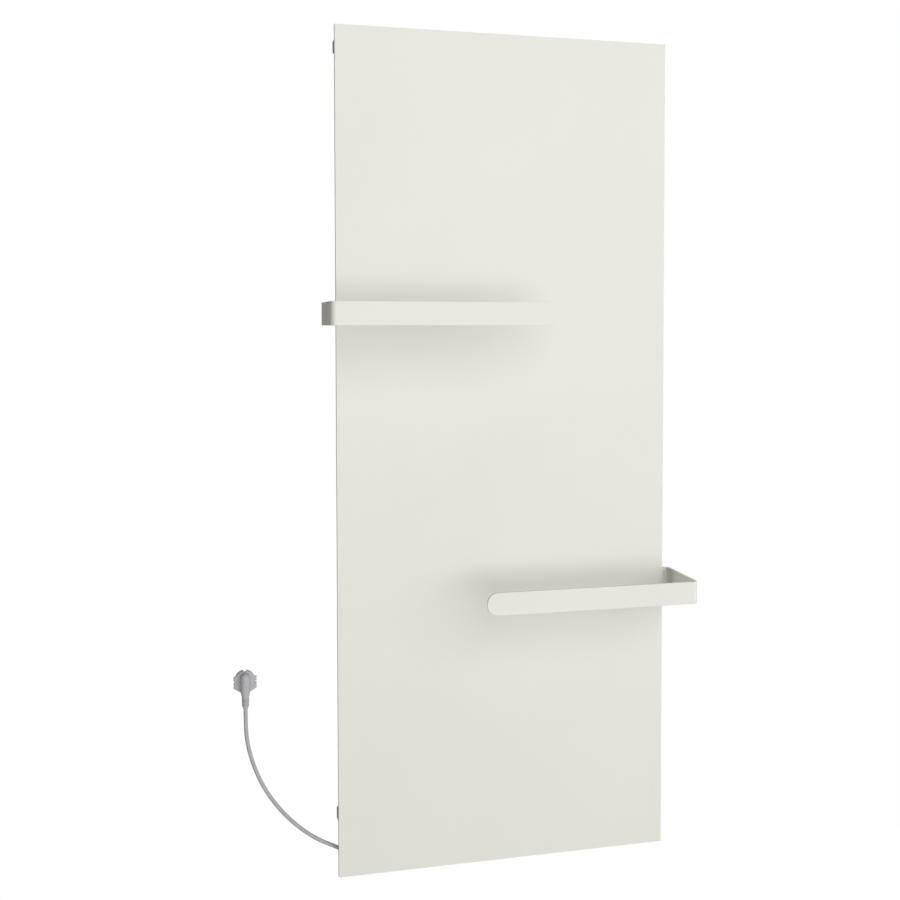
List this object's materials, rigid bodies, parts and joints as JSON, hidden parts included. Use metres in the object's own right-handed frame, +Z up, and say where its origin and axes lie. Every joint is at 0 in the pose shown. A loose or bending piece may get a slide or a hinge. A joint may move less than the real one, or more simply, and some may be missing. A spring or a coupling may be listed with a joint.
{
  "type": "electric towel radiator",
  "caption": "Wall-hung slim electric panel radiator with flat-bar towel rails wrapping in from opposite sides, wall brackets, rear receiver, cord and plug.",
  "frame": {"origin": "on the wall plane, at the centre of the rectangle of the four wall screws", "axes": "+X to the right of someone facing the radiator, +Y into the wall, +Z up"},
  "size_m": [0.8146, 0.16, 1.5],
  "materials": {
    "warm_white_enamel": "matt powder coat",
    "galvanised_sheet": "satin galvanised",
    "zinc_screw": "bright zinc plate",
    "dark_nylon": "fine moulded texture",
    "heater_silicone": "matt",
    "aluminium_foil": "rolled",
    "insulation_fibre": "matt",
    "cutout_case": "matt",
    "receiver_plastic": "fine moulded texture",
    "black_plastic": "satin",
    "grey_button": "satin",
    "board_green": "solder mask",
    "terminal_plastic": "satin",
    "status_lens": "clear",
    "lamp_white": "gloss",
    "grey_nylon": "satin",
    "seal_rubber": "matt",
    "lead_insulation": "satin",
    "grey_cord": "matt sheath",
    "grey_plug": "fine moulded texture",
    "plug_metal": "nickel plate"
  },
  "bodies": {
    "radiator": {"back_sheet": "galvanised_sheet", "back_sheet_screws": "zinc_screw", "bar_screws": "zinc_screw", "bar_spacers": "zinc_screw", "bar_washers": "zinc_screw", "circuit_board": "board_green", "cord_sheath_end": "grey_cord", "front_panel": "warm_white_enamel", "gland_body": "grey_nylon", "gland_locknut": "grey_nylon", "gland_nut": "grey_nylon", "gland_seal": "seal_rubber", "hanger_studs": "zinc_screw", "heater_foil": "aluminium_foil", "heater_leads": "lead_insulation", "heating_cable": "heater_silicone", "insulation_board": "insulation_fibre", "lead_grommet": "seal_rubber", "lock_screws": "zinc_screw", "mains_cord": "grey_cord", "mains_leads": "lead_insulation", "pairing_switch": "black_plastic", "plug_body": "grey_plug", "plug_earth_contacts": "plug_metal", "plug_pins": "plug_metal", "plug_strain_relief": "grey_cord", "power_switch_body": "black_plastic", "receiver_housing": "receiver_plastic", "receiver_lid": "receiver_plastic", "receiver_lid_screws": "zinc_screw", "receiver_mounting_screws": "zinc_screw", "relay": "black_plastic", "status_led": "lamp_white", "status_lens": "status_lens", "supply_capacitor": "black_plastic", "terminal_block": "terminal_plastic", "thermal_cutout": "cutout_case", "towel_bar_lower": "warm_white_enamel", "towel_bar_upper": "warm_white_enamel", "wall_bracket_lower_left": "dark_nylon", "wall_bracket_lower_right": "dark_nylon", "wall_bracket_upper_left": "dark_nylon", "wall_bracket_upper_right": "dark_nylon"},
    "rocker": {"power_rocker": "black_plastic"},
    "button": {"pairing_button": "grey_button"}
  },
  "joints": [
    {"name": "power_rocker_tilt", "type": "hinge", "parent": "radiator", "child": "rocker", "pos_m": [-0.178, -0.023, -0.7731], "axis": [0, 1, 0], "range_deg": [0, 14]},
    {"name": "pairing_button_press", "type": "slide", "parent": "radiator", "child": "button", "axis": [0, 0, 1], "range_m": [0, 0.0008], "stiffness_N_per_m": 400, "springref_m": -0.001}
  ]
}
